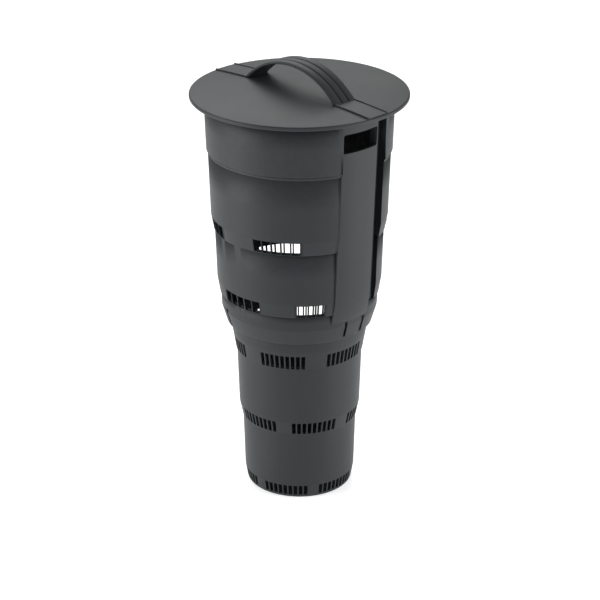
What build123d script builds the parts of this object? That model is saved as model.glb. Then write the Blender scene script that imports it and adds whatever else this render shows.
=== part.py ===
from build123d import *
from collections import namedtuple
from math import acos, cos, degrees, radians, sin, sqrt
import os

# Lidded strainer basket: a stepped, slotted upper basket with a smooth inlet panel and a keyway,
# a finer lower basket clipped below it, and an overhanging domed lid with a strap handle.
# Frame: +Z up, origin on the floor at the basket's axis. The inlet panel faces -Y and the handle
# runs along Y. Angles turn round Z from -Y, and a positive angle is towards +X.

# A stage is a straight wall that narrows a little, then the sloping shoulder below it. The next
# stage is set in under the shoulder's lower edge by the ledge.
Stage = namedtuple(
    "Stage", "wall_height narrowing shoulder_height shoulder_inset shoulder_round ledge"
)
# Where a stage lies: the (radius, height) corners of its outer face, from the top down.
Reach = namedtuple("Reach", "top shoulder foot stage")
# A slot row sits in the shoulder of its stage, in groups of equal slots.
SlotRow = namedtuple(
    "SlotRow", "stage groups first_angle slots slot_pitch width top_margin bottom_margin"
)

# ---- baskets ----
mouth_radius = 86.8
wall = 2.0
floor_thickness = 2.0
base_round = 1.8            # round of the lower basket's bottom edge
upper_stages = [
    Stage(48.7, 1.6, 3.2, 1.5, 0, 0),
    Stage(60.0, 1.9, 13.5, 2.5, 8.5, 1.0),
    Stage(49.2, 1.6, 13.8, 2.3, 8.5, 1.1),
    Stage(14.0, 0.45, 15.3, 4.55, 8.5, 0),
]
lower_stages = [
    Stage(11.4, 0.4, 18.3, 3.1, 8.5, 0.95),
    Stage(56.5, 1.75, 13.9, 2.9, 8.5, 0.5),
    Stage(54.6, 1.6, 14.0, 2.4, 8.5, 0),
]
group_pitch = -60.0         # from one group of slots to the next
upper_rows = [
    SlotRow(1, 5, -60.0, 5, 6.4, 7.8, 0.4, 0.9),
    SlotRow(2, 5, -30.0, 5, 6.8, 7.8, 1.3, 0.7),
]
lower_rows = [
    SlotRow(0, 6, 0.0, 9, 4.62, 3.65, 3.8, 0.8),
    SlotRow(1, 6, -30.0, 9, 5.05, 3.6, 0.4, 1.5),
    SlotRow(2, 6, 0.0, 9, 5.45, 3.7, 0.7, 3.0),
]
slot_panel_gap = 5.0        # least wall from a slot to the inlet panel or the keyway

# ---- snap joint between the baskets ----
joint_ledge = 4.9           # how far the lower basket is set in under the upper one
flange_thickness = 2.0      # the upper basket's inward bottom flange
spigot_clearance = 0.2
spigot_thickness = 2.0
spigot_root = 5.0           # below the joint face
snap_angles = [0.0, 120.0, -120.0]
lug_width = 14.0
lug_height = 2.0
lug_overlap = 1.5           # of a lug over the flange
lug_gap = 0.3
flex_slot_offset = 8.6      # degrees from the middle of a snap to the slots beside it
flex_slot_width = 2.7
flex_slot_height = 15.5
flex_slot_margin = 0.8      # above the flange

# ---- inlet panel and keyway ----
panel_left = -26.5
panel_right = 15.5
panel_top_inset = 1.3       # how far the panel is set in from the mouth band
panel_draft = 0.0444        # radius lost for each millimetre of height
panel_straight = 168.0      # length of the panel's straight part
panel_foot_margin = 4.0     # from the end of the last wall up to the panel's lower edge
panel_foot_proud = 0.15
cheek_thickness = 2.0
window_margin = 1.2         # of panel left beside the window
window_height = 18.0
window_drop = 12.4          # from the mouth down to the window
window_round = 1.6
keyway_width = 12.8
keyway_depth = 5.5          # below the panel's surface
keyway_last_stage = 2       # the keyway ends at the foot of this stage of the upper basket

# ---- lid ----
lid_overhang = 13.2
lid_edge_thickness = 3.8
lid_plate_thickness = 2.4
lid_top_round = 1.4         # rounds of the lid's edge, above and below
lid_under_round = 1.2
lid_dome_rise = 4.0
lid_seat_depth = 0.4        # recess of the lid's underside over the mouth
lid_seat_clearance = 0.5
lid_seat_width = 7.0        # flat ring inside the mouth, before the underside is hollowed
skirt_depth = 8.0
skirt_thickness = 2.0
skirt_clearance = 0.35
skirt_end_gap = 1.5         # from the panel and the keyway to the ends of the skirt

# ---- handle ----
handle_width = 25.0
handle_half_chord = 54.0
finger_clearance = 22.0
strap_side = 1.7
strap_crown = 1.3
strap_ribs = 3
strip_thickness = 0.6
strip_tuck = 1.0            # from the arch's inner foot out to the start of the strips
rail_width = 1.6
rail_height = 1.5
tongue_width = 14.0
tongue_thickness = 3.0
tongue_inset = 3.0          # from the arch's foot to the tongue
tongue_barb = 0.7
barb_play = 0.2             # between the catch and the lid plate
tongue_reach = 2.4          # below the lid plate
tongue_clearance = 0.2

far = 300.0                 # longer than any part, for cutting blocks
cut = 1.0                   # how far a cutting solid runs past an open end


def place_stages(stages, top_radius, top_height):
    """Corners of every stage of a stepped wall, from the top down."""
    reaches = []
    top = (top_radius, top_height)
    for stage in stages:
        shoulder = (top[0] - stage.narrowing, top[1] - stage.wall_height)
        foot = (shoulder[0] - stage.shoulder_inset, shoulder[1] - stage.shoulder_height)
        reaches.append(Reach(top, shoulder, foot, stage))
        top = (foot[0] - stage.ledge, foot[1])
    return reaches


def stage_height(stages):
    return sum(stage.wall_height + stage.shoulder_height for stage in stages)


lower_height = stage_height(lower_stages)
basket_height = lower_height + stage_height(upper_stages)
upper_reaches = place_stages(upper_stages, mouth_radius, basket_height)
joint_radius = upper_reaches[-1].foot[0] - joint_ledge
lower_reaches = place_stages(lower_stages, joint_radius, lower_height)


def radius_at(reaches, height):
    """Radius of a stepped wall's outer face at a height, with sharp corners."""
    for reach in reaches:
        for upper, lower in ((reach.top, reach.shoulder), (reach.shoulder, reach.foot)):
            if lower[1] <= height <= upper[1]:
                share = (upper[1] - height) / (upper[1] - lower[1])
                return upper[0] + (lower[0] - upper[0]) * share
    return reaches[-1].foot[0]


def stepped_solid(reaches, depth=0.0, edge_round=0.0, extra_top=0.0):
    """Solid of revolution under a stepped wall's face, or at a depth behind that face."""
    top = (reaches[0].top[0] - depth, reaches[0].top[1] + extra_top)
    points = [top]
    rounds = []
    for reach in reaches:
        ledge = reach.stage.ledge
        foot_z = reach.foot[1] + (depth if ledge else 0)
        points.append((reach.shoulder[0] - depth, reach.shoulder[1]))
        points.append((radius_at([reach], foot_z) - depth, foot_z))
        rounds += [reach.stage.shoulder_round, 0]
        if ledge:
            points.append((reach.foot[0] - ledge - depth, foot_z))
            rounds.append(0)
    rounds[-1] = edge_round
    bottom = (0, points[-1][1])
    edge = FilletPolyline(*points, bottom, radius=rounds)
    rest = Polyline(bottom, (0, top[1]), top)
    return revolve(Plane.XZ * make_face([*edge.edges(), *rest.edges()]), Axis.Z)


def block(x_low, x_high, y_low, y_high, z_low, z_high):
    size = Box(x_high - x_low, y_high - y_low, z_high - z_low)
    return Pos((x_low + x_high) / 2, (y_low + y_high) / 2, (z_low + z_high) / 2) * size


def front_block(x_low, x_high, z_low=-far, z_high=2 * far):
    """Everything in front of the axis between two planes along Y."""
    return block(x_low, x_high, -far, 0, z_low, z_high)


def radial_block(angle, width, inner, outer, z_low, z_high):
    """Block of a given width that points away from the axis at an angle."""
    return Rot(0, 0, angle) * block(-width / 2, width / 2, -outer, -inner, z_low, z_high)


def disc(radius, z_low, z_high):
    return Pos(0, 0, (z_low + z_high) / 2) * Cylinder(radius, z_high - z_low)


def ring(inner, outer, z_low, z_high):
    return disc(outer, z_low, z_high) - disc(inner, z_low, z_high)


# ---- shared surfaces of the upper basket ----
flange_top = lower_height + flange_thickness
flange_hole = joint_radius - wall
upper_outside = stepped_solid(upper_reaches)
upper_inside = stepped_solid(upper_reaches, depth=wall, extra_top=cut)
upper_inside -= block(-far, far, -far, far, -far, flange_top)

panel_foot_z = upper_reaches[-1].shoulder[1] + panel_foot_margin
panel_top_radius = mouth_radius - panel_top_inset
panel_knee = (panel_top_radius - panel_draft * panel_straight, basket_height - panel_straight)
panel_foot_radius = radius_at(upper_reaches, panel_foot_z) + panel_foot_proud


def panel_solid(depth):
    """Solid of revolution under the panel's surface, or at a depth behind it."""
    top = (panel_top_radius - depth, basket_height)
    knee = (panel_knee[0] - depth, panel_knee[1])
    foot = (panel_foot_radius - depth, panel_foot_z)
    straight = Line(top, knee)
    curved = TangentArc(knee, foot, tangent=(-panel_draft, -1))
    rest = Polyline(foot, (0, foot[1]), (0, top[1]), top)
    return revolve(Plane.XZ * make_face([straight, curved, *rest.edges()]), Axis.Z)


keyway_right = panel_right + keyway_width
keyway_low = upper_reaches[keyway_last_stage].foot[1]
channel_low = keyway_low - wall


def keyway_solid(depth):
    """Cone under the keyway's floor, or at a depth behind it."""
    high = basket_height + cut
    upper_radius = panel_top_radius + panel_draft * cut - keyway_depth - depth
    lower_radius = upper_radius - panel_draft * (high - channel_low)
    cone = Cone(lower_radius, upper_radius, high - channel_low)
    return Pos(0, 0, (high + channel_low) / 2) * cone


keyway_back = keyway_solid(wall)
panel_outside = panel_solid(0)
panel_cutout = front_block(panel_left, panel_right, panel_foot_z)


def meets_front(angle, radius, width):
    """Whether a slot would come too near to the inlet panel or the keyway."""
    middle = radius * sin(radians(angle))
    reach = width / 2 + slot_panel_gap
    in_front = cos(radians(angle)) > 0
    return in_front and panel_left - reach < middle < keyway_right + wall + reach


def slot_cutters(reaches, rows):
    """Radial blocks for every slot of a basket's rows."""
    cutters = []
    for row in rows:
        reach = reaches[row.stage]
        inner = reach.foot[0] - reach.stage.ledge - 2 * wall
        outer = reach.shoulder[0] + wall
        low = reach.foot[1] + row.bottom_margin
        high = reach.shoulder[1] - row.top_margin
        for group in range(row.groups):
            middle = row.first_angle + group * group_pitch
            for index in range(row.slots):
                angle = middle + (index - (row.slots - 1) / 2) * row.slot_pitch
                if low > panel_foot_z and meets_front(angle, reach.shoulder[0], row.width):
                    continue
                cutters.append(radial_block(angle, row.width, inner, outer, low, high))
    return cutters


def make_upper_basket():
    shell = upper_outside - upper_inside - disc(flange_hole, lower_height - cut, flange_top + cut)
    shell -= front_block(panel_right, keyway_right, keyway_low)
    far_side = keyway_right + wall
    floor = (keyway_solid(0) - keyway_back) & front_block(
        panel_right, far_side, channel_low, basket_height
    )
    lining = upper_outside - keyway_back
    side = lining & front_block(keyway_right, far_side, channel_low)
    shelf = lining & front_block(panel_right, far_side, channel_low, keyway_low)
    basket = shell + floor + side + shelf - panel_cutout
    basket -= slot_cutters(upper_reaches, upper_rows)
    last = upper_reaches[-1]
    flex_low = flange_top + flex_slot_margin
    flex_high = flex_low + flex_slot_height
    for middle in snap_angles:
        for side in (-1, 1):
            angle = middle + side * flex_slot_offset
            inner = last.foot[0] - 2 * wall
            outer = last.top[0] + wall
            basket -= radial_block(angle, flex_slot_width, inner, outer, flex_low, flex_high)
    return basket


def make_inlet_panel():
    skin = (panel_outside - panel_solid(wall)) & panel_cutout
    left_cheek = (panel_outside - upper_inside) & front_block(
        panel_left, panel_left + cheek_thickness, panel_foot_z
    )
    right_inner = panel_right - cheek_thickness
    right_cheek = (panel_outside - upper_inside) & front_block(
        right_inner, panel_right, panel_foot_z
    )
    keyway_side = (panel_outside - keyway_back) & front_block(right_inner, panel_right, channel_low)
    panel = skin + left_cheek + right_cheek + keyway_side
    window_width = panel_right - panel_left - 2 * window_margin
    window_z = basket_height - window_drop - window_height / 2
    plane = Plane(
        origin=((panel_left + panel_right) / 2, 0, window_z), x_dir=(1, 0, 0), z_dir=(0, -1, 0)
    )
    panel -= extrude(plane * RectangleRounded(window_width, window_height, window_round), far)
    return panel


def make_lower_basket():
    outside = stepped_solid(lower_reaches, edge_round=base_round)
    inside = stepped_solid(lower_reaches, depth=wall, extra_top=cut)
    inside -= block(-far, far, -far, far, -far, floor_thickness)
    basket = outside - inside
    spigot_outer = flange_hole - spigot_clearance
    spigot_inner = spigot_outer - spigot_thickness
    lug_low = flange_top + lug_gap
    lug_high = lug_low + lug_height
    basket += ring(spigot_inner, joint_radius - wall / 2, lower_height - spigot_root, lower_height)
    basket += ring(spigot_inner, spigot_outer, lower_height - spigot_root, lug_high)
    lug_ring = ring(spigot_inner, flange_hole + lug_overlap, lug_low, lug_high)
    for angle in snap_angles:
        basket += lug_ring & radial_block(angle, lug_width, 0, far, lug_low, lug_high)
    basket -= slot_cutters(lower_reaches, lower_rows)
    return basket


# ---- shared surfaces of the lid ----
lid_radius = mouth_radius + lid_overhang
lid_underside = basket_height - lid_seat_depth
lid_top = lid_underside + lid_edge_thickness
dome_radius = (lid_radius ** 2 + lid_dome_rise ** 2) / (2 * lid_dome_rise)


def dome_height(radius):
    """Height of the lid's upper surface at a radius."""
    return lid_top + lid_dome_rise - dome_radius + sqrt(dome_radius ** 2 - radius ** 2)


def dome_face(reach, lift, floor):
    """Half section under the dome, moved up by a lift, down to a flat floor."""
    crown = (0, dome_height(0) + lift)
    middle = (reach / 2, dome_height(reach / 2) + lift)
    edge = (reach, dome_height(reach) + lift)
    arc = ThreePointArc(crown, middle, edge)
    rest = Polyline(edge, (reach, floor), (0, floor), crown)
    return make_face([arc, *rest.edges()])


def dome_solid(reach, lift, floor):
    return revolve(Plane.XZ * dome_face(reach, lift, floor), Axis.Z)


hollow_radius = mouth_radius - wall - lid_seat_width
hollow_top = dome_height(hollow_radius) - lid_plate_thickness


def make_lid_plate():
    section = dome_face(lid_radius, 0, lid_underside)
    section = fillet(section.vertices().group_by(Axis.X)[-1].sort_by(Axis.Y)[-1], lid_top_round)
    section = fillet(section.vertices().group_by(Axis.Y)[0].sort_by(Axis.X)[-1], lid_under_round)
    plate = revolve(Plane.XZ * section, Axis.Z)
    plate -= disc(mouth_radius + lid_seat_clearance, lid_underside - cut, basket_height)
    plate -= dome_solid(hollow_radius, -lid_plate_thickness, basket_height - cut)
    skirt_low = basket_height - skirt_depth
    skirt_outer = radius_at(upper_reaches, skirt_low) - wall - skirt_clearance
    skirt = ring(skirt_outer - skirt_thickness, skirt_outer, skirt_low, basket_height)
    gap = front_block(panel_left - skirt_end_gap, keyway_right + wall + skirt_end_gap)
    plate += skirt - gap
    for side in (-1, 1):
        plate -= tongue(side, tongue_clearance)
    return plate


def tongue(side, clearance):
    """Flat tongue below one foot of the handle."""
    middle = side * (handle_half_chord + tongue_inset)
    half_width = tongue_width / 2 + clearance
    half_thickness = tongue_thickness / 2 + clearance
    return block(
        -half_width, half_width, middle - half_thickness, middle + half_thickness,
        hollow_top - tongue_reach, dome_height(handle_half_chord) + strip_thickness / 2,
    )


def barb(side):
    """Catch on the outer face of a tongue, below the lid plate."""
    outer = side * (handle_half_chord + tongue_inset + tongue_thickness / 2)
    low, high = sorted((outer - side, outer + side * tongue_barb))
    top = dome_height(abs(outer) + tongue_barb) - lid_plate_thickness - barb_play
    return block(-tongue_width / 2, tongue_width / 2, low, high, hollow_top - tongue_reach, top)


def make_carry_handle():
    foot_z = dome_height(handle_half_chord)
    rise = dome_height(0) + finger_clearance - foot_z
    arch_radius = (handle_half_chord ** 2 + rise ** 2) / (2 * rise)
    centre_z = foot_z + rise - arch_radius
    buried = strap_side + strap_crown
    half_sweep = degrees(acos((arch_radius - rise - buried) / arch_radius))

    def on_arch(angle):
        return (0, arch_radius * sin(radians(angle)), centre_z + arch_radius * cos(radians(angle)))

    path = ThreePointArc(on_arch(-half_sweep), on_arch(0), on_arch(half_sweep))
    plane = Plane(origin=path @ 0, x_dir=(-1, 0, 0), z_dir=path % 0)
    rib = handle_width / strap_ribs
    left = -handle_width / 2
    crowns = [
        ThreePointArc(
            (left + index * rib, strap_side),
            (left + (index + 0.5) * rib, strap_side + strap_crown),
            (left + (index + 1) * rib, strap_side),
        )
        for index in range(strap_ribs)
    ]
    base = Polyline((-left, strap_side), (-left, 0), (left, 0), (left, strap_side))
    arch = sweep(plane * make_face([*crowns, *base.edges()]), path=path)
    strip_end = lid_radius - lid_top_round
    strip = dome_solid(strip_end, strip_thickness, basket_height)
    rails = dome_solid(strip_end, rail_height, basket_height)
    half = handle_width / 2
    strip_room = block(-half, half, -far, far, 0, 2 * far)
    rail_room = strip_room - block(rail_width - half, half - rail_width, -far, far, 0, 2 * far)
    strip_start = handle_half_chord + strip_tuck
    middle_room = block(-far, far, -strip_start, strip_start, 0, 2 * far)
    handle = (strip & strip_room) + (rails & rail_room) - middle_room + arch
    handle -= dome_solid(lid_radius, 0, 0)
    for side in (-1, 1):
        handle += tongue(side, 0) + barb(side)
    return handle


os.makedirs("parts", exist_ok=True)
nodes = {
    "upper_basket": make_upper_basket(),
    "inlet_panel": make_inlet_panel(),
    "lower_basket": make_lower_basket(),
    "lid_plate": make_lid_plate(),
    "carry_handle": make_carry_handle(),
}
for name, shape in nodes.items():
    export_step(shape, f"parts/{name}.step")
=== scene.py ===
from math import acos, asin, atan2, cos, degrees, pi, radians, sin, sqrt

import bmesh
import bpy
from mathutils import Matrix, Vector


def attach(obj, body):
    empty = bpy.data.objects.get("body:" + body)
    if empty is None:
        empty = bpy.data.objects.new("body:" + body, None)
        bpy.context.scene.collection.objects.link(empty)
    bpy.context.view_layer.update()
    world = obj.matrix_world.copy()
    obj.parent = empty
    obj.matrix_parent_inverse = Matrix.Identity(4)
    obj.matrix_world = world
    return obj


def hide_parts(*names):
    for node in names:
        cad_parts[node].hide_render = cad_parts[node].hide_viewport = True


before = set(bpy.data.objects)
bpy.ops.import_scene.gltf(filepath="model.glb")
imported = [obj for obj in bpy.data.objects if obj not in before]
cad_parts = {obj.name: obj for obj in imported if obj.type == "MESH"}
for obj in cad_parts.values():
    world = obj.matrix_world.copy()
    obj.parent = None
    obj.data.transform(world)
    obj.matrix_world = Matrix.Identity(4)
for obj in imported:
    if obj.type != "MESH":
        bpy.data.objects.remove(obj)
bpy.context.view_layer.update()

# Lidded strainer basket. Angles turn round Z from -Y, positive towards +X, in degrees.
# Lengths are metres; mm keeps the small ones readable.
mm = 0.001
print("frame loaded")

# ---------- camera, light and floor ----------
shot = {
    "turn": -44.8, "rise": 23.86, "distance": 2.10, "lens": 134.05,
    "aimHeight": 0.1835, "aimSide": 0.00052,
}


def makeCamera():
    turn, rise = radians(shot["turn"]), radians(shot["rise"])
    back = Vector((sin(turn) * cos(rise), -cos(turn) * cos(rise), sin(rise)))
    side = Vector((cos(turn), sin(turn), 0))
    target = Vector((0, 0, shot["aimHeight"])) + side * shot["aimSide"]
    data = bpy.data.cameras.new("camera")
    data.lens = shot["lens"]
    data.sensor_width = 36
    data.clip_end = 50
    camera = bpy.data.objects.new("camera", data)
    bpy.context.scene.collection.objects.link(camera)
    camera.location = target + back * shot["distance"]
    camera.rotation_mode = "QUATERNION"
    camera.rotation_quaternion = (-back).to_track_quat("-Z", "Y")
    bpy.context.scene.camera = camera


lights = {
    # name: turn from -Y, height, distance, width, length, power, colour
    "leftBox": (-118, 0.35, 1.15, 0.7, 1.5, 13.0, (1.0, 1.0, 1.0)),
    "rightBox": (28, 0.35, 1.15, 0.7, 1.5, 13.0, (1.0, 1.0, 1.0)),
    "backBox": (150, 1.30, 1.20, 1.4, 0.9, 12.0, (1.0, 1.0, 1.0)),
}


def makeLight(name):
    turn, height, distance, width, length, power, colour = lights[name]
    place = Vector((sin(radians(turn)) * distance, -cos(radians(turn)) * distance, height))
    data = bpy.data.lights.new(name, "AREA")
    data.shape = "RECTANGLE"
    data.size = width
    data.size_y = length
    data.energy = power
    data.color = colour
    lamp = bpy.data.objects.new(name, data)
    bpy.context.scene.collection.objects.link(lamp)
    lamp.location = place
    lamp.rotation_mode = "QUATERNION"
    lamp.rotation_quaternion = (Vector((0, 0, 0.2)) - place).to_track_quat("-Z", "Y")


def makeWorld():
    world = bpy.data.worlds.new("studio")
    bpy.context.scene.world = world
    world.use_nodes = True
    world.node_tree.nodes["Background"].inputs["Color"].default_value = (1, 1, 1, 1)
    world.node_tree.nodes["Background"].inputs["Strength"].default_value = 0.4
    bpy.context.scene.view_settings.view_transform = "Standard"


def makeFloor():
    bm = bmesh.new()
    bmesh.ops.create_grid(bm, x_segments=1, y_segments=1, size=6)
    mesh = bpy.data.meshes.new("floor")
    bm.to_mesh(mesh)
    bm.free()
    floor = bpy.data.objects.new("floor", mesh)
    bpy.context.scene.collection.objects.link(floor)
    paint = bpy.data.materials.new("paleFloor")
    paint.use_nodes = True
    shader = paint.node_tree.nodes["Principled BSDF"]
    shader.inputs["Base Color"].default_value = (0.93, 0.935, 0.94, 1)
    shader.inputs["Roughness"].default_value = 0.35
    shader.inputs["Emission Color"].default_value = (1, 1, 1, 1)
    shader.inputs["Emission Strength"].default_value = 0.5
    mesh.materials.append(paint)


makeCamera()
for lightName in lights:
    makeLight(lightName)
makeWorld()
makeFloor()
print("camera, light and floor done")


# ---------- plastics ----------
def makeGroup(name, inputs, outputs):
    group = bpy.data.node_groups.new(name, "ShaderNodeTree")
    for label, kind, value in inputs:
        socket = group.interface.new_socket(name=label, in_out="INPUT", socket_type=kind)
        socket.default_value = value
    for label, kind in outputs:
        group.interface.new_socket(name=label, in_out="OUTPUT", socket_type=kind)
    return group


def addNode(tree, kind, **settings):
    node = tree.nodes.new(kind)
    for key, value in settings.items():
        setattr(node, key, value)
    return node


def mixColours(tree, factor, first, second):
    mix = addNode(tree, "ShaderNodeMix", data_type="RGBA")
    tree.links.new(factor, mix.inputs["Factor"])
    for socket, value in ((mix.inputs[6], first), (mix.inputs[7], second)):
        if isinstance(value, bpy.types.NodeSocket):
            tree.links.new(value, socket)
        else:
            socket.default_value = (*value, 1)
    return mix.outputs[2]


def rangeOf(tree, value, low, high, newLow, newHigh):
    node = addNode(tree, "ShaderNodeMapRange", clamp=True)
    tree.links.new(value, node.inputs["Value"])
    for label, number in (("From Min", low), ("From Max", high), ("To Min", newLow), ("To Max", newHigh)):
        node.inputs[label].default_value = number
    return node.outputs["Result"]


def noiseOf(tree, position, scale, detail, rough=0.5):
    node = addNode(tree, "ShaderNodeTexNoise")
    tree.links.new(position, node.inputs["Vector"])
    node.inputs["Scale"].default_value = scale
    node.inputs["Detail"].default_value = detail
    node.inputs["Roughness"].default_value = rough
    return node.outputs["Fac"]


def makeGrainGroup():
    # moulded grain: a fine erosion texture with a faint slow swell of the wall under it
    group = makeGroup(
        "mouldGrain",
        [
            ("Position", "NodeSocketVector", (0, 0, 0)),
            ("Fine", "NodeSocketFloat", 1.0),
            ("Swell", "NodeSocketFloat", 1.0),
        ],
        [("Height", "NodeSocketFloat"), ("Mask", "NodeSocketFloat")],
    )
    start = addNode(group, "NodeGroupInput")
    end = addNode(group, "NodeGroupOutput")
    fine = noiseOf(group, start.outputs["Position"], 2600, 2, 0.6)
    swell = noiseOf(group, start.outputs["Position"], 26, 2)
    fineHeight = addNode(group, "ShaderNodeMath", operation="MULTIPLY")
    group.links.new(fine, fineHeight.inputs[0])
    group.links.new(start.outputs["Fine"], fineHeight.inputs[1])
    swellHeight = addNode(group, "ShaderNodeMath", operation="MULTIPLY")
    group.links.new(swell, swellHeight.inputs[0])
    group.links.new(start.outputs["Swell"], swellHeight.inputs[1])
    total = addNode(group, "ShaderNodeMath", operation="ADD")
    group.links.new(fineHeight.outputs[0], total.inputs[0])
    group.links.new(swellHeight.outputs[0], total.inputs[1])
    group.links.new(total.outputs[0], end.inputs["Height"])
    group.links.new(fine, end.inputs["Mask"])
    return group


def makeToneAndHighlightGroup():
    # painted highlight along sharp convex edges, and a slow change of tone over each moulding
    group = makeGroup(
        "toneAndEdgeHighlight",
        [
            ("Position", "NodeSocketVector", (0, 0, 0)),
            ("Base", "NodeSocketColor", (0.05, 0.05, 0.05, 1)),
            ("Edge Highlight", "NodeSocketColor", (0.12, 0.12, 0.12, 1)),
            ("Grain Mask", "NodeSocketFloat", 0.5),
            ("Highlight Amount", "NodeSocketFloat", 1.0),
        ],
        [("Colour", "NodeSocketColor"), ("Roughness", "NodeSocketFloat")],
    )
    start = addNode(group, "NodeGroupInput")
    end = addNode(group, "NodeGroupOutput")
    form = addNode(group, "ShaderNodeNewGeometry")
    patch = noiseOf(group, start.outputs["Position"], 9, 4, 0.55)
    highlightNoise = noiseOf(group, start.outputs["Position"], 160, 5, 0.7)
    # painted highlight: sharp convex edges, found by pointiness and broken up by noise, get the lighter
    # second colour
    edge = rangeOf(group, form.outputs["Pointiness"], 0.58, 0.72, 0.0, 1.0)
    patchyHighlight = addNode(group, "ShaderNodeMath", operation="MULTIPLY")
    group.links.new(edge, patchyHighlight.inputs[0])
    group.links.new(rangeOf(group, highlightNoise, 0.4, 0.62, 0.15, 1.0), patchyHighlight.inputs[1])
    highlightMask = addNode(group, "ShaderNodeMath", operation="MULTIPLY")
    group.links.new(patchyHighlight.outputs[0], highlightMask.inputs[0])
    group.links.new(start.outputs["Highlight Amount"], highlightMask.inputs[1])
    toned = addNode(group, "ShaderNodeHueSaturation")
    group.links.new(start.outputs["Base"], toned.inputs["Color"])
    group.links.new(rangeOf(group, patch, 0.3, 0.7, 0.96, 1.04), toned.inputs["Value"])
    speckled = addNode(group, "ShaderNodeHueSaturation")
    group.links.new(toned.outputs["Color"], speckled.inputs["Color"])
    speckle = rangeOf(group, start.outputs["Grain Mask"], 0.3, 0.7, 0.94, 1.06)
    group.links.new(speckle, speckled.inputs["Value"])
    # mixes the painted edge highlight colour over the toned, speckled plastic
    colour = mixColours(group, highlightMask.outputs[0], speckled.outputs["Color"], start.outputs["Edge Highlight"])
    group.links.new(colour, end.inputs["Colour"])
    rough = addNode(group, "ShaderNodeMath", operation="SUBTRACT")
    group.links.new(rangeOf(group, patch, 0.3, 0.7, 0.47, 0.54), rough.inputs[0])
    group.links.new(rangeOf(group, highlightMask.outputs[0], 0.0, 1.0, 0.0, 0.10), rough.inputs[1])
    group.links.new(rough.outputs[0], end.inputs["Roughness"])
    return group


mouldGrain = makeGrainGroup()
toneAndEdgeHighlight = makeToneAndHighlightGroup()

# base is each plastic's own colour; the second, lighter colour and its amount paint a highlight along sharp
# convex edges
plastics = {
    "basketPlastic": {
        "base": (0.021, 0.0245, 0.0265), "highlightColour": (0.050, 0.056, 0.059),
        "fine": 1.0, "swell": 0.5, "edgeHighlight": 0.12,
    },
    "panelPlastic": {
        "base": (0.022, 0.0256, 0.0276), "highlightColour": (0.050, 0.056, 0.059),
        "fine": 0.8, "swell": 0.6, "edgeHighlight": 0.15,
    },
    "lidPlastic": {
        "base": (0.024, 0.0280, 0.0300), "highlightColour": (0.065, 0.072, 0.075),
        "fine": 1.0, "swell": 0.7, "edgeHighlight": 1.0,
    },
}


def makePlastic(name):
    look = plastics[name]
    material = bpy.data.materials.new(name)
    material.use_nodes = True
    tree = material.node_tree
    shader = tree.nodes["Principled BSDF"]
    shader.inputs["IOR"].default_value = 1.36
    place = addNode(tree, "ShaderNodeTexCoord").outputs["Object"]
    grain = addNode(tree, "ShaderNodeGroup", node_tree=mouldGrain)
    tree.links.new(place, grain.inputs["Position"])
    grain.inputs["Fine"].default_value = look["fine"]
    grain.inputs["Swell"].default_value = look["swell"]
    edgeHighlight = addNode(tree, "ShaderNodeGroup", node_tree=toneAndEdgeHighlight)
    tree.links.new(place, edgeHighlight.inputs["Position"])
    tree.links.new(grain.outputs["Mask"], edgeHighlight.inputs["Grain Mask"])
    edgeHighlight.inputs["Base"].default_value = (*look["base"], 1)
    # the lighter second colour and its amount set the painted edge highlight
    edgeHighlight.inputs["Edge Highlight"].default_value = (*look["highlightColour"], 1)
    edgeHighlight.inputs["Highlight Amount"].default_value = look["edgeHighlight"]
    bump = addNode(tree, "ShaderNodeBump")
    bump.inputs["Strength"].default_value = 0.18
    bump.inputs["Distance"].default_value = 0.0002
    tree.links.new(grain.outputs["Height"], bump.inputs["Height"])
    tree.links.new(edgeHighlight.outputs["Colour"], shader.inputs["Base Color"])
    tree.links.new(edgeHighlight.outputs["Roughness"], shader.inputs["Roughness"])
    tree.links.new(bump.outputs["Normal"], shader.inputs["Normal"])
    return material


finishes = {name: makePlastic(name) for name in plastics}
print("plastics done")


# ---------- shared mesh work ----------
def polar(angle, radius, height):
    return Vector((radius * sin(radians(angle)), -radius * cos(radians(angle)), height))


def angleOf(point):
    return degrees(atan2(point.x, -point.y))


def spinProfile(profile, steps):
    # turns (radius, height) points into a full skin round Z
    bm = bmesh.new()
    verts = [bm.verts.new(polar(0, radius, height)) for radius, height in profile]
    edges = [bm.edges.new(pair) for pair in zip(verts, verts[1:])]
    bmesh.ops.spin(
        bm, geom=verts + edges, cent=(0, 0, 0), axis=(0, 0, 1), angle=2 * pi, steps=steps, use_merge=True
    )
    bmesh.ops.remove_doubles(bm, verts=bm.verts, dist=1e-7)
    return bm


def facesOutward(bm, outwardAt):
    # one known face decides which way the whole skin points
    bmesh.ops.recalc_face_normals(bm, faces=bm.faces)
    probe = min(bm.faces, key=lambda face: (face.calc_center_median() - outwardAt[0]).length)
    if probe.normal.dot(outwardAt[1]) < 0:
        bmesh.ops.reverse_faces(bm, faces=bm.faces)


def finishPiece(bm, name, body, nodes, finish, wall=None, edge=None):
    mesh = bpy.data.meshes.new(name)
    for face in bm.faces:
        face.smooth = True
    bm.to_mesh(mesh)
    bm.free()
    mesh.materials.append(finishes[finish])
    piece = bpy.data.objects.new(name, mesh)
    bpy.context.scene.collection.objects.link(piece)
    if wall:
        thick = piece.modifiers.new("wall", "SOLIDIFY")
        thick.thickness = wall
        thick.offset = -1
        thick.use_even_offset = True
        thick.use_rim = True
    if edge:
        soft = piece.modifiers.new("edges", "BEVEL")
        soft.width = edge
        soft.segments = 2
        soft.limit_method = "ANGLE"
        soft.angle_limit = radians(18)
        soft.use_clamp_overlap = True
        flat = piece.modifiers.new("shading", "WEIGHTED_NORMAL")
        flat.keep_sharp = True
    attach(piece, body)
    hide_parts(*nodes)
    return piece


# ---------- stepped walls ----------
columns = 144                      # columns of faces round each basket
columnTurn = 360 / columns
softCorner = 0.5 * mm              # half height of the soft corner above each shoulder


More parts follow.
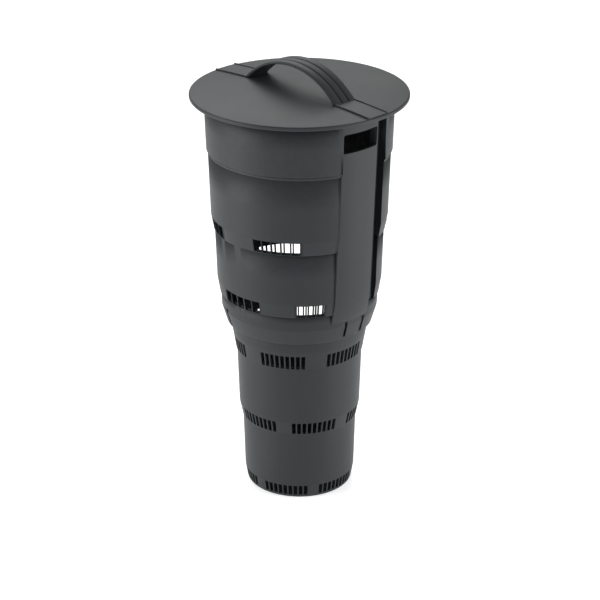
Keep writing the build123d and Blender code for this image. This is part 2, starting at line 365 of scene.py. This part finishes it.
def placeStages(basket, radius, height):
    # each stage as a dictionary in metres, with the heights and radius of its slots
    stages = []
    for index, (wall, narrowing, shoulder, inset, ledge) in enumerate(basket["stages"]):
        stage = {
            "radius": radius, "height": height,
            "wallSlope": narrowing / wall, "bandSlope": inset / shoulder,
            "cornerRadius": radius - narrowing * mm, "corner": height - wall * mm,
            "footRadius": radius - (narrowing + inset) * mm, "foot": height - (wall + shoulder) * mm,
            "slots": basket["slots"].get(index), "ledge": ledge,
        }
        if stage["slots"]:
            stage["slots"]["high"] = stage["corner"] - stage["slots"]["top"] * mm
            stage["slots"]["low"] = stage["foot"] + stage["slots"]["bottom"] * mm
            stage["slots"]["radius"] = stage["cornerRadius"]
        stages.append(stage)
        radius, height = stage["footRadius"] - ledge * mm, stage["foot"]
    return stages


def radiusAt(stages, height):
    for stage in stages:
        if height >= stage["corner"]:
            return stage["cornerRadius"] + (height - stage["corner"]) * stage["wallSlope"]
        if height >= stage["foot"]:
            return stage["cornerRadius"] - (stage["corner"] - height) * stage["bandSlope"]
    return stages[-1]["footRadius"]


def stageRings(stages, extraHeights=()):
    # rings from the top down: radius, height and the slots whose columns they follow
    rings = []
    for stage in stages:
        slots = stage["slots"]
        heights = {stage["corner"] + softCorner, stage["corner"] - softCorner}
        if slots:
            heights |= {slots["high"], slots["low"]}
            if 0 < stage["corner"] - slots["high"] < softCorner:
                heights.discard(stage["corner"] - softCorner)
        if stage["corner"] - stage["foot"] < 4 * mm:
            heights = {stage["corner"]}        # a step, with no soft corner
        rings.append((stage["radius"], stage["height"], None))
        rings.append((
            (stage["radius"] + stage["cornerRadius"]) / 2, (stage["height"] + stage["corner"]) / 2, None
        ))
        heights |= {height for height in extraHeights if stage["corner"] < height < stage["height"]}
        for height in sorted(heights, reverse=True):
            rings.append((radiusAt([stage], height), height, slots))
        if stage["ledge"]:
            rings.append((stage["footRadius"], stage["foot"], slots))
    return rings


def slotAnchors(slots):
    # column -> angle for both sides of every slot, and the slots' own angle ranges
    anchors, spans = {}, []
    halfTurn = degrees(asin(slots["width"] * mm / 2 / slots["radius"]))
    share, bar, count = slots["columns"], slots["barColumns"], slots["count"]
    for group in range(slots["groups"]):
        centre = slots["first"] - slots["groupTurn"] * group
        start = round(centre / columnTurn) - (count * (share + bar) - bar) // 2
        for index in range(count):
            angle = centre + (index - (count - 1) / 2) * slots["pitch"]
            if slots["skip"][0] < angle < slots["skip"][1]:
                continue
            left = start + index * (share + bar)
            anchors[left] = angle - halfTurn
            anchors[left + share] = angle + halfTurn
            spans.append((angle - halfTurn, angle + halfTurn))
    return anchors, spans


def columnAngles(anchors):
    # angle of every column, spaced evenly between the fixed ones
    half = columns // 2
    fixed = {}
    for column, angle in anchors.items():
        turns = (column + half) // columns
        fixed[column - turns * columns] = angle - turns * 360
    if not fixed:
        fixed = {0: 0.0}
    known = sorted(fixed.items())
    known.append((known[0][0] + columns, known[0][1] + 360))
    angles = {}
    for (low, lowAngle), (high, highAngle) in zip(known, known[1:]):
        for column in range(low, high):
            angle = lowAngle + (highAngle - lowAngle) * (column - low) / (high - low)
            angles[(column + half) % columns - half] = angle
    return angles


def steppedSkin(rings, extraAnchors):
    # full skin through the rings, its columns turned to the slots' sides, and the slots left out
    bm = spinProfile([(radius, height) for radius, height, slots in rings], columns)
    patterns = []
    for radius, height, slots in rings:
        anchors = slotAnchors(slots)[0] if slots else {}
        anchors.update(extraAnchors(radius, height))
        patterns.append((Vector((radius, height)), columnAngles(anchors)))
    for vert in bm.verts:
        radius = vert.co.xy.length
        if radius < 1e-6:
            continue
        column = round(angleOf(vert.co) / columnTurn)
        column = (column + columns // 2) % columns - columns // 2
        spot = Vector((radius, vert.co.z))
        pattern = min(patterns, key=lambda entry: (entry[0] - spot).length)
        vert.co = polar(pattern[1][column], radius, vert.co.z)
    for slots in {id(slots): slots for radius, height, slots in rings if slots}.values():
        spans = slotAnchors(slots)[1]
        spans = [(low + turn, high + turn) for low, high in spans for turn in (-360, 0, 360)]
        gone = []
        for face in bm.faces:
            middle = face.calc_center_median()
            if slots["low"] < middle.z < slots["high"]:
                angle = angleOf(middle)
                if any(low < angle < high for low, high in spans):
                    gone.append(face)
        bmesh.ops.delete(bm, geom=gone, context="FACES")
    return bm


def extrudeFaces(bm, faces):
    # extrudes a patch and returns its new vertices
    made = bmesh.ops.extrude_face_region(bm, geom=faces)["geom"]
    bmesh.ops.delete(bm, geom=faces, context="FACES")
    return [item for item in made if isinstance(item, bmesh.types.BMVert)]


# ---------- lower basket ----------
lowerBasket = {
    # wall height, narrowing, shoulder height, inset, ledge, in millimetres
    "stages": [(11.4, 0.4, 18.3, 3.1, 0.95), (56.5, 1.75, 13.9, 2.9, 0.5), (54.6, 1.6, 14.0, 2.4, 0)],
    # slots by stage: top below the corner, bottom above the foot, width, pitch in degrees
    "slots": {
        0: {"top": 3.8, "bottom": 0.8, "width": 3.65, "pitch": 4.62, "first": 0},
        1: {"top": 0.4, "bottom": 1.5, "width": 3.6, "pitch": 5.05, "first": -30},
        2: {"top": 0.7, "bottom": 3.0, "width": 3.7, "pitch": 5.45, "first": 0},
    },
    "topRadius": 63.4, "baseRound": 1.8, "wall": 2.0,
    "spigotRadius": 61.2, "spigotHeight": 4.3,
    "lugAngles": (0, 120, -120), "lugTurn": 6.6, "lugHeight": 2.0, "lugReach": 1.7,
}
for row in lowerBasket["slots"].values():
    row.update(groups=6, groupTurn=60, count=9, columns=1, barColumns=1, skip=(400, 400))
jointHeight = sum(stage[0] + stage[2] for stage in lowerBasket["stages"]) * mm
lowerStages = placeStages(lowerBasket, lowerBasket["topRadius"] * mm, jointHeight)


def makeLowerBasket():
    spigot = lowerBasket["spigotRadius"] * mm
    spigotTop = jointHeight + lowerBasket["spigotHeight"] * mm
    lugLow = spigotTop - lowerBasket["lugHeight"] * mm
    rings = [(spigot, spigotTop, None), (spigot, lugLow, None), (spigot, jointHeight, None)]
    rings += stageRings(lowerStages)
    foot, rounding = lowerStages[-1]["footRadius"], lowerBasket["baseRound"] * mm
    for turn in (0, 30, 60, 90):
        out = rounding * (1 - cos(radians(turn)))
        rings.append((foot - out, rounding * (1 - sin(radians(turn))), None))
    rings += [(foot * 0.55, 0, None), (foot * 0.12, 0, None), (0, 0, None)]
    lugs = lowerBasket["lugAngles"]

    def lugAnchors(radius, height):
        if height < lugLow - softCorner:
            return {}
        return {
            round(lug / columnTurn) + side * 3: lug + side * lowerBasket["lugTurn"]
            for lug in lugs for side in (-1, 1)
        }

    bm = steppedSkin(rings, lugAnchors)
    facesOutward(bm, (polar(0, spigot, lugLow), polar(0, 1, 0)))
    for lug in lugs:
        faces = []
        for face in bm.faces:
            middle = face.calc_center_median()
            apart = (angleOf(middle) - lug + 180) % 360 - 180
            if middle.z > lugLow and abs(apart) < lowerBasket["lugTurn"]:
                faces.append(face)
        for vert in extrudeFaces(bm, faces):
            vert.co += Vector((vert.co.x, vert.co.y, 0)).normalized() * lowerBasket["lugReach"] * mm
    return finishPiece(
        bm, "lower_basket_shell", "basket", ["lower_basket"], "basketPlastic",
        wall=lowerBasket["wall"] * mm, edge=0.3 * mm,
    )


makeLowerBasket()
print("lower basket done")

# ---------- upper basket ----------
upperBasket = {
    "stages": [
        (48.7, 1.6, 3.2, 1.5, 0), (60.0, 1.9, 13.5, 2.5, 1.0),
        (49.2, 1.6, 13.8, 2.3, 1.1), (14.0, 0.45, 15.3, 4.55, 0),
    ],
    "slots": {
        1: {"top": 0.4, "bottom": 0.9, "width": 7.8, "pitch": 6.4, "first": -60},
        2: {"top": 1.3, "bottom": 0.7, "width": 7.8, "pitch": 6.8, "first": -30},
        # the flex slots beside each snap
        3: {"top": -3.0, "bottom": 2.8, "width": 2.7, "pitch": 17.2, "first": 0},
    },
    "mouthRadius": 86.8, "flangeHole": 61.4, "wall": 2.0,
}
for row in (1, 2):
    upperBasket["slots"][row].update(groups=5, groupTurn=60, count=5, columns=2, barColumns=1, skip=(-26, 40))
upperBasket["slots"][3].update(groups=3, groupTurn=120, count=2, columns=1, barColumns=6, skip=(400, 400))
mouthHeight = jointHeight + sum(stage[0] + stage[2] for stage in upperBasket["stages"]) * mm
upperStages = placeStages(upperBasket, upperBasket["mouthRadius"] * mm, mouthHeight)

inletPanel = {
    "left": -26.5, "right": 15.5, "topInset": 1.3, "draft": 0.0444, "straight": 168.0,
    "footMargin": 4.0, "footProud": 0.15, "wall": 2.0,
    "windowMargin": 1.2, "windowDrop": 12.4, "windowHeight": 18.0, "windowRound": 1.6,
}
keyway = {"width": 12.8, "depth": 5.5, "lastStage": 2}
panelLeft, panelRight = inletPanel["left"] * mm, inletPanel["right"] * mm
panelTop = (upperBasket["mouthRadius"] - inletPanel["topInset"]) * mm
panelFoot = upperStages[-1]["corner"] + inletPanel["footMargin"] * mm
keywayRight = panelRight + keyway["width"] * mm
keywayLow = upperStages[keyway["lastStage"]]["foot"]
panelColumns = {-8: panelLeft, 4: panelRight, 8: keywayRight}


def keywayFloor(height):
    return panelTop - keyway["depth"] * mm - inletPanel["draft"] * (mouthHeight - height)


def setRadius(vert, radius):
    # moves a vertex along Y to a radius, in front of the axis
    vert.co.y = -sqrt(radius ** 2 - vert.co.x ** 2)


def makeUpperBasket():
    rings = stageRings(upperStages, extraHeights=[panelFoot])
    rings.append((upperStages[-1]["footRadius"], jointHeight, None))
    rings.append((upperBasket["flangeHole"] * mm, jointHeight, None))

    def frontAnchors(radius, height):
        if height < panelFoot - 1e-6:
            return {}
        return {column: degrees(asin(x / radius)) for column, x in panelColumns.items()}

    bm = steppedSkin(rings, frontAnchors)
    facesOutward(bm, (polar(90, rings[1][0], rings[1][1]), polar(90, 1, 0)))
    panelFaces, keywayFaces = [], []
    for face in bm.faces:
        middle = face.calc_center_median()
        if middle.y < 0 and middle.z > panelFoot and panelLeft < middle.x < panelRight:
            panelFaces.append(face)
        if middle.y < 0 and middle.z > keywayLow - 1e-5 and panelRight < middle.x < keywayRight:
            keywayFaces.append(face)
    for vert in extrudeFaces(bm, keywayFaces):
        setRadius(vert, keywayFloor(vert.co.z))
    gone = panelFaces
    for face in bm.faces:
        leftSide = all(abs(vert.co.x - panelRight) < 1e-5 and vert.co.y < 0 for vert in face.verts)
        topSide = all(vert.co.z > mouthHeight - 1e-5 for vert in face.verts)
        if leftSide or topSide:
            gone.append(face)
    bmesh.ops.delete(bm, geom=list(set(gone)), context="FACES")
    bmesh.ops.remove_doubles(bm, verts=bm.verts, dist=1e-6)
    return finishPiece(
        bm, "upper_basket_shell", "basket", ["upper_basket"], "basketPlastic",
        wall=upperBasket["wall"] * mm, edge=0.3 * mm,
    )


makeUpperBasket()
print("upper basket done")


# ---------- inlet panel ----------
def panelRadius(height):
    # straight draft from the top, then an arc that runs into the wall at the foot
    straightEnd = mouthHeight - inletPanel["straight"] * mm
    draft = inletPanel["draft"]
    if height >= straightEnd:
        return panelTop - draft * (mouthHeight - height)
    kneeRadius = panelTop - draft * inletPanel["straight"] * mm
    footRadius = radiusAt(upperStages, panelFoot) + inletPanel["footProud"] * mm
    share = (straightEnd - height) / (straightEnd - panelFoot)
    slack = kneeRadius - footRadius - draft * (straightEnd - panelFoot)
    return kneeRadius - draft * (straightEnd - height) - slack * share ** 2


def makeInletPanel():
    margin, corner = inletPanel["windowMargin"] * mm, inletPanel["windowRound"] * mm
    windowLeft, windowRight = panelLeft + margin, panelRight - margin
    windowTop = mouthHeight - inletPanel["windowDrop"] * mm
    windowLow = windowTop - inletPanel["windowHeight"] * mm
    steps = 16
    inner = [windowLeft + corner, windowRight - corner]
    spread = [inner[0] + (inner[1] - inner[0]) * step / steps for step in range(steps + 1)]
    across = [panelLeft, windowLeft, *spread, windowRight, panelRight]
    straightEnd = mouthHeight - inletPanel["straight"] * mm
    heights = [mouthHeight, windowTop, windowTop - corner, windowLow + corner, windowLow]
    heights += [windowLow + (straightEnd - windowLow) * step / 6 for step in range(1, 7)]
    heights += [straightEnd + (panelFoot - straightEnd) * step / 6 for step in range(1, 7)]
    bm = bmesh.new()
    verts = [bm.verts.new((across[0], 0, height)) for height in heights]
    strip = [bm.edges.new(pair) for pair in zip(verts, verts[1:])]
    for left, right in zip(across, across[1:]):
        made = bmesh.ops.extrude_edge_only(bm, edges=strip)["geom"]
        strip = [item for item in made if isinstance(item, bmesh.types.BMEdge)]
        strip = [edge for edge in strip if abs(edge.verts[0].co.x - edge.verts[1].co.x) < 1e-9]
        moved = [item for item in made if isinstance(item, bmesh.types.BMVert)]
        bmesh.ops.translate(bm, vec=(right - left, 0, 0), verts=moved)
    gone = []
    for face in bm.faces:
        middle = face.calc_center_median()
        if windowLeft < middle.x < windowRight and windowLow < middle.z < windowTop:
            gone.append(face)
    bmesh.ops.delete(bm, geom=gone, context="FACES")
    nip = corner * (1 - sqrt(0.5))                 # rounds the window's corners
    for vert in bm.verts:
        for x, z, toRight, toTop in (
            (windowLeft, windowTop, 1, -1), (windowRight, windowTop, -1, -1),
            (windowLeft, windowLow, 1, 1), (windowRight, windowLow, -1, 1),
        ):
            if abs(vert.co.x - x) < 1e-7 and abs(vert.co.z - z) < 1e-7:
                vert.co.x += toRight * nip
                vert.co.z += toTop * nip
    for vert in bm.verts:
        setRadius(vert, panelRadius(vert.co.z))
    for side, x in ((-1, panelLeft), (1, panelRight)):
        edges = [
            edge for edge in bm.edges
            if edge.is_boundary and all(abs(vert.co.x - x) < 1e-7 for vert in edge.verts)
        ]
        made = bmesh.ops.extrude_edge_only(bm, edges=edges)["geom"]
        for vert in made:
            if isinstance(vert, bmesh.types.BMVert):
                depth = radiusAt(upperStages, vert.co.z) - upperBasket["wall"] * mm
                if side > 0 and vert.co.z > keywayLow:
                    depth = min(depth, keywayFloor(vert.co.z) - upperBasket["wall"] * mm)
                setRadius(vert, depth)
    front = Vector(((panelLeft + panelRight) / 2, -panelRadius(0.25), 0.25))
    facesOutward(bm, (front, Vector((0, -1, 0))))
    return finishPiece(
        bm, "inlet_panel_wall", "basket", ["inlet_panel"], "panelPlastic",
        wall=inletPanel["wall"] * mm, edge=0.3 * mm,
    )


makeInletPanel()
print("inlet panel done")

# ---------- lid ----------
lid = {
    "overhang": 13.2, "edge": 3.8, "plate": 2.4, "topRound": 1.4, "underRound": 1.2, "rise": 4.0,
    "seatDepth": 0.4, "seatClearance": 0.5, "seatWidth": 7.0,
    "skirtDepth": 8.0, "skirt": 2.0, "skirtClearance": 0.35, "skirtEndGap": 1.5, "skirtSteps": 120,
    # rings of the dome and of the hollow under it, as shares of their radius
    "topRings": (0, 0.03, 0.2, 0.4, 0.6, 0.8, 0.93),
    "underRings": (1, 0.97, 0.75, 0.5, 0.25, 0.04, 0),
}
lidRadius = (upperBasket["mouthRadius"] + lid["overhang"]) * mm
lidUnder = mouthHeight - lid["seatDepth"] * mm
lidTop = lidUnder + lid["edge"] * mm
domeRadius = (lidRadius ** 2 + (lid["rise"] * mm) ** 2) / (2 * lid["rise"] * mm)


def domeHeight(radius):
    return lidTop + lid["rise"] * mm - domeRadius + sqrt(domeRadius ** 2 - radius ** 2)


def roundCorner(radius, height, size, first, last, steps=4):
    # points of a round, from its centre and two angles up from the outward direction
    turns = [radians(first + (last - first) * step / steps) for step in range(steps + 1)]
    return [(radius + size * cos(turn), height + size * sin(turn)) for turn in turns]


def makeLidPlate():
    topRound, underRound = lid["topRound"] * mm, lid["underRound"] * mm
    hollow = (upperBasket["mouthRadius"] - upperBasket["wall"] - lid["seatWidth"]) * mm
    plate = lid["plate"] * mm
    seat = (upperBasket["mouthRadius"] + lid["seatClearance"]) * mm
    topEdge = lidRadius - topRound
    profile = [(topEdge * share, domeHeight(topEdge * share)) for share in lid["topRings"]]
    profile += roundCorner(topEdge, domeHeight(topEdge) - topRound, topRound, 90, 0)
    profile += roundCorner(lidRadius - underRound, lidUnder + underRound, underRound, 0, -90)
    profile += [(seat, lidUnder), (seat, mouthHeight), (hollow, mouthHeight)]
    profile += [(hollow * share, domeHeight(hollow * share) - plate) for share in lid["underRings"]]
    bm = spinProfile(profile, columns)
    facesOutward(bm, (Vector((0, 0, domeHeight(0))), Vector((0, 0, 1))))
    # the skirt, open in front of the panel and the keyway
    skirtLow = mouthHeight - lid["skirtDepth"] * mm
    outer = radiusAt(upperStages, skirtLow) - (upperBasket["wall"] + lid["skirtClearance"]) * mm
    inner = outer - lid["skirt"] * mm
    gapLeft = degrees(asin((panelLeft - lid["skirtEndGap"] * mm) / outer))
    gapRight = degrees(asin((keywayRight + (upperBasket["wall"] + lid["skirtEndGap"]) * mm) / outer))
    skirtHigh = mouthHeight + plate / 2            # runs up into the plate
    section = [(outer, skirtHigh), (outer, skirtLow), (inner, skirtLow), (inner, skirtHigh)]
    verts = [bm.verts.new(polar(gapRight, radius, height)) for radius, height in section]
    edges = [bm.edges.new((verts[index], verts[(index + 1) % 4])) for index in range(4)]
    firstEnd = bm.faces.new(verts)
    made = bmesh.ops.spin(
        bm, geom=verts + edges, cent=(0, 0, 0), axis=(0, 0, 1),
        angle=radians(360 + gapLeft - gapRight), steps=lid["skirtSteps"],
    )["geom_last"]
    lastEnd = bm.faces.new([item for item in made if isinstance(item, bmesh.types.BMVert)])
    skirtFaces = {firstEnd, lastEnd}
    grow = [firstEnd, lastEnd]
    while grow:
        face = grow.pop()
        for edge in face.edges:
            for other in edge.link_faces:
                if other not in skirtFaces:
                    skirtFaces.add(other)
                    grow.append(other)
    bmesh.ops.recalc_face_normals(bm, faces=list(skirtFaces))
    return finishPiece(
        bm, "lid_plate_disc", "lid", ["lid_plate"], "lidPlastic", edge=0.2 * mm,
    )


makeLidPlate()
print("lid done")

# ---------- carry handle ----------
handle = {
    "width": 25.0, "halfChord": 54.0, "fingers": 22.0, "side": 1.7, "crown": 1.3, "ribs": 3,
    "footGrowth": 0.45, "footGrowthPower": 5, "archSteps": 72, "ribSteps": 8, "ribBulge": 0.8,
    "underRound": 0.6, "strip": 0.6, "stripSteps": 10, "sunk": 0.5, "stripTuck": 1.0,
    "railWidth": 1.6, "railHeight": 1.5,
    "tongueWidth": 14.0, "tongue": 3.0, "tongueInset": 3.0, "tongueReach": 2.4, "barb": 0.7,
}


def makeCarryHandle():
    half, chord = handle["width"] / 2 * mm, handle["halfChord"] * mm
    side, crown = handle["side"] * mm, handle["crown"] * mm
    footHeight = domeHeight(chord)
    rise = domeHeight(0) + handle["fingers"] * mm - footHeight
    arch = (chord ** 2 + rise ** 2) / (2 * rise)
    middle = footHeight + rise - arch
    sweep = acos((arch - rise - side - crown) / arch)
    # section of the strap: flat below, three crowned ribs above, as (across, outward)
    rib = 2 * half / handle["ribs"]
    section = []
    for number in range(handle["ribs"]):
        for step in range(handle["ribSteps"]):
            share = step / handle["ribSteps"]
            bulge = sqrt(1 - (2 * share - 1) ** 2)
            section.append((-half + (number + share) * rib, side + crown * bulge ** handle["ribBulge"]))
    under = handle["underRound"] * mm
    section += [(half, side), (half, side * 0.35), (half - under, 0), (half * 0.4, 0)]
    section += [(-half * 0.4, 0), (-half + under, 0), (-half, side * 0.35)]
    bm = bmesh.new()
    verts = [
        bm.verts.new((across, -(arch + out) * sin(sweep), middle + (arch + out) * cos(sweep)))
        for across, out in section
    ]
    edges = [bm.edges.new((verts[index - 1], verts[index])) for index in range(len(verts))]
    bm.faces.new(verts)
    made = bmesh.ops.spin(
        bm, geom=verts + edges, cent=(0, 0, middle), axis=(-1, 0, 0), angle=2 * sweep,
        steps=handle["archSteps"],
    )["geom_last"]
    ring = [item for item in made if isinstance(item, bmesh.types.BMVert)]
    bm.faces.new(ring)
    for vert in bm.verts:
        # the strap thickens towards its feet
        reach = Vector((0, vert.co.y, vert.co.z - middle))
        turn = abs(atan2(vert.co.y, vert.co.z - middle)) / sweep
        out = reach.length - arch
        reach *= (arch + out * (1 + handle["footGrowth"] * turn ** handle["footGrowthPower"])) / reach.length
        vert.co.y, vert.co.z = reach.y, middle + reach.z
    bmesh.ops.recalc_face_normals(bm, faces=bm.faces)
    addStrips(bm, half, chord)
    addTongues(bm, chord)
    return finishPiece(
        bm, "carry_handle_strap", "lid", ["carry_handle"], "lidPlastic", edge=0.2 * mm,
    )


def addStrips(bm, half, chord):
    # foot strips with a rail along each side, laid on the dome
    rail, strip, railTop = handle["railWidth"] * mm, handle["strip"] * mm, handle["railHeight"] * mm
    sunk = -handle["sunk"] * mm
    section = [(-half, sunk), (-half, railTop), (-half + rail, railTop), (-half + rail, strip)]
    section += [(-half * 0.4, strip), (half * 0.4, strip)]
    section += [(half - rail, strip), (half - rail, railTop), (half, railTop), (half, sunk)]
    section += [(half * 0.4, sunk), (-half * 0.4, sunk)]
    start = chord + handle["stripTuck"] * mm
    end = lidRadius - lid["topRound"] * mm
    steps = handle["stripSteps"]
    for side in (-1, 1):
        verts = [bm.verts.new((across, start, lift)) for across, lift in section]
        edges = [bm.edges.new((verts[index - 1], verts[index])) for index in range(len(verts))]
        made = [bm.faces.new(verts)]
        allVerts = list(verts)
        for step in range(steps):
            grown = bmesh.ops.extrude_edge_only(bm, edges=edges)["geom"]
            edges = [item for item in grown if isinstance(item, bmesh.types.BMEdge)]
            newVerts = [item for item in grown if isinstance(item, bmesh.types.BMVert)]
            edges = [edge for edge in edges if all(vert in newVerts for vert in edge.verts)]
            made += [item for item in grown if isinstance(item, bmesh.types.BMFace)]
            for vert in newVerts:
                vert.co.y = start + (sqrt(end ** 2 - vert.co.x ** 2) - start) * (step + 1) / steps
            allVerts += newVerts
        ends = bmesh.ops.contextual_create(bm, geom=edges)["faces"]
        made += ends
        for vert in allVerts:
            vert.co.y *= side
            vert.co.z += domeHeight(vert.co.xy.length)
        bmesh.ops.recalc_face_normals(bm, faces=made)


def addTongues(bm, chord):
    # flat tongues with a catch, through the lid below each foot
    low = domeHeight(upperStages[0]["radius"]) - (lid["plate"] + handle["tongueReach"]) * mm
    for side in (-1, 1):
        middle = side * (chord + handle["tongueInset"] * mm)
        high = domeHeight(chord)
        size = (handle["tongueWidth"] * mm, handle["tongue"] * mm, high - low)
        place = Matrix.Translation((0, middle, (high + low) / 2)) @ Matrix.Diagonal((*size, 1))
        bmesh.ops.create_cube(bm, size=1, matrix=place)
        catch = (handle["tongueWidth"] * mm, (handle["tongue"] + handle["barb"]) * mm, 1.6 * mm)
        place = Matrix.Translation((0, middle + side * handle["barb"] / 2 * mm, low + 0.8 * mm))
        bmesh.ops.create_cube(bm, size=1, matrix=place @ Matrix.Diagonal((*catch, 1)))


makeCarryHandle()
print("carry handle done")
